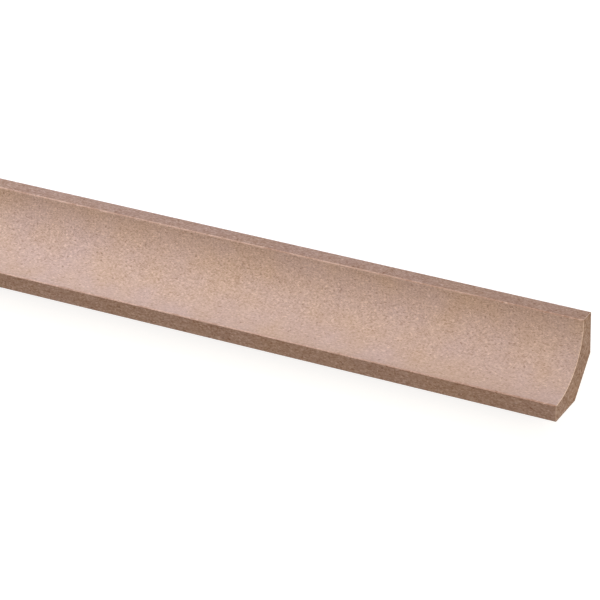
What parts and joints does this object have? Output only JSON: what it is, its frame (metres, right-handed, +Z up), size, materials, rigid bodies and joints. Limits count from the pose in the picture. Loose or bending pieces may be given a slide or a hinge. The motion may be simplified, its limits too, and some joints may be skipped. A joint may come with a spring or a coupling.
{
  "type": "cornice moulding",
  "caption": "Cove cornice moulding of raw MDF: a quarter-round hollow between flat edge strips, with bearing faces for wall and ceiling and an oblique back.",
  "frame": {"origin": "middle of the oblique back, at floor level, with the moulding lying on that back", "axes": "+X along the length, +Z up out of the hollow, Y across the section, with the wall face on the -Y side and the ceiling face on the +Y side"},
  "size_m": [2.44, 0.0634, 0.0244],
  "materials": {
    "raw_mdf": "matte"
  },
  "bodies": {
    "root": {"cornice_moulding": "raw_mdf"}
  },
  "joints": []
}
